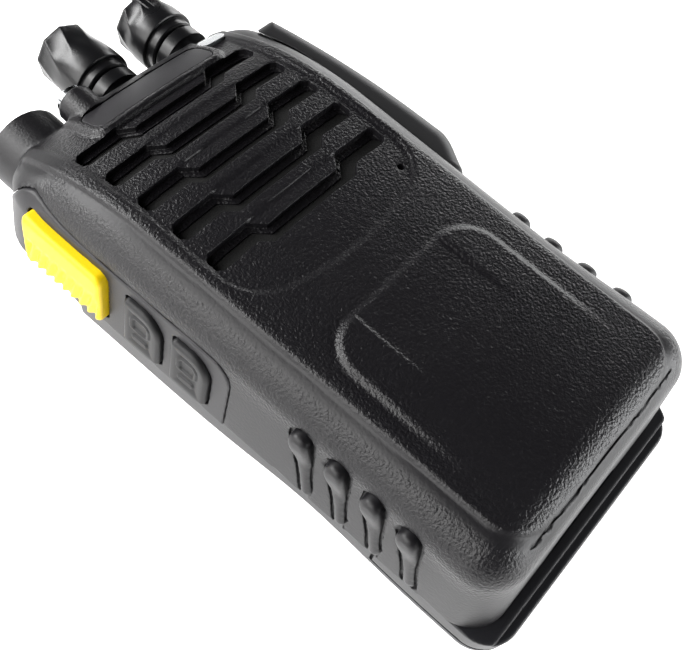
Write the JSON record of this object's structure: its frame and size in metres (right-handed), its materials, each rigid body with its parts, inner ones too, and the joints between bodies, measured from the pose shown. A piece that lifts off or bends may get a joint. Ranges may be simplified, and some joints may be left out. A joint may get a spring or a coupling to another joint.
{
  "type": "portable two-way radio",
  "caption": "Compact handheld two-way radio lying on its back: slotted speaker face, side talk button and keys, two knobs, torch, jack cover and slim battery.",
  "frame": {"origin": "point on the flat back of the battery, on the middle plane of the case, 50 mm above the foot", "axes": "+Z out of the speaker face, +Y towards the antenna and knob end, +X towards the accessory-jack side"},
  "size_m": [0.064, 0.1238, 0.032],
  "materials": {
    "case_black": "spark-eroded grain, black PC/ABS",
    "trim_black": "fine satin, black PC/ABS",
    "ptt_yellow": "satin yellow ABS",
    "key_rubber": "matt moulded rubber",
    "switch_body": "glass-filled nylon",
    "cloth": "woven black dust cloth",
    "plated_steel": "zinc plated steel",
    "cone_film": "thin polymer film",
    "foam": "closed-cell foam",
    "can_alloy": "turned and pressed alloy",
    "board": "solder-resist green laminate",
    "cast_alloy": "die-cast alloy, black paint",
    "knob_black": "satin black ABS",
    "nut_black": "blackened brass",
    "gold_brass": "gold-plated brass",
    "white_plastic": "fluoropolymer",
    "chrome_trim": "vacuum-plated",
    "clear_lens": "clear polycarbonate or epoxy",
    "led_body": "white body, yellow phosphor",
    "label_black": "gloss black, plain",
    "cover_rubber": "matt thermoplastic rubber",
    "battery_black": "fine grain, black PC/ABS",
    "cell_wrap": "blue heat-shrink",
    "spring_steel": "bright spring wire"
  },
  "bodies": {
    "radio": {"front_case": "case_black", "side_bezel": "trim_black", "key_switches": "switch_body", "grille_cloth": "cloth", "speaker_frame": "plated_steel", "speaker_cone": "cone_film", "speaker_gasket": "foam", "microphone": "can_alloy", "mic_boot": "key_rubber", "main_board": "board", "shield_can": "plated_steel", "rear_chassis": "cast_alloy", "channel_switch": "can_alloy", "volume_switch": "can_alloy", "control_nuts": "nut_black", "antenna_socket": "gold_brass", "antenna_insulator": "white_plastic", "antenna_contact": "gold_brass", "torch_collar": "chrome_trim", "torch_led": "clear_lens", "status_light_pipe": "clear_lens", "status_led": "led_body", "label_plate": "label_black", "jack_block": "switch_body", "battery_shell": "battery_black", "battery_lid": "battery_black", "battery_cell": "cell_wrap", "battery_board": "board", "battery_contacts": "gold_brass", "charge_contacts": "plated_steel", "contact_springs": "gold_brass", "latch_spring": "spring_steel", "board_screws": "plated_steel", "chassis_screws": "plated_steel"},
    "ptt": {"ptt_button": "ptt_yellow"},
    "key_upper": {"side_key_upper": "key_rubber"},
    "key_lower": {"side_key_lower": "key_rubber"},
    "channel_control": {"channel_knob": "knob_black", "channel_shaft": "can_alloy"},
    "volume_control": {"volume_knob": "knob_black", "volume_shaft": "can_alloy"},
    "cover": {"accessory_cover": "cover_rubber"},
    "latch": {"battery_latch": "trim_black"}
  },
  "joints": [
    {"name": "ptt_press", "type": "slide", "parent": "radio", "child": "ptt", "axis": [1, 0, 0], "range_m": [0, 0.001], "stiffness_N_per_m": 3000},
    {"name": "key_upper_press", "type": "slide", "parent": "radio", "child": "key_upper", "axis": [1, 0, 0], "range_m": [0, 0.0005], "stiffness_N_per_m": 3000},
    {"name": "key_lower_press", "type": "slide", "parent": "radio", "child": "key_lower", "axis": [1, 0, 0], "range_m": [0, 0.0005], "stiffness_N_per_m": 3000},
    {"name": "channel_turn", "type": "hinge", "parent": "radio", "child": "channel_control", "pos_m": [0.0005, 0.067, 0.0166], "axis": [0, 1, 0], "range_deg": [-157.5, 180]},
    {"name": "volume_turn", "type": "hinge", "parent": "radio", "child": "volume_control", "pos_m": [0.016, 0.067, 0.0166], "axis": [0, 1, 0], "range_deg": [-210, 60]},
    {"name": "cover_open", "type": "hinge", "parent": "radio", "child": "cover", "pos_m": [0.03062, 0.0495, 0.0175], "axis": [0, 0, 1], "range_deg": [0, 110]},
    {"name": "latch_slide", "type": "slide", "parent": "radio", "child": "latch", "axis": [0, 0, 1], "range_m": [0, 0.0022], "stiffness_N_per_m": 800, "deforming": ["latch_spring"]}
  ]
}
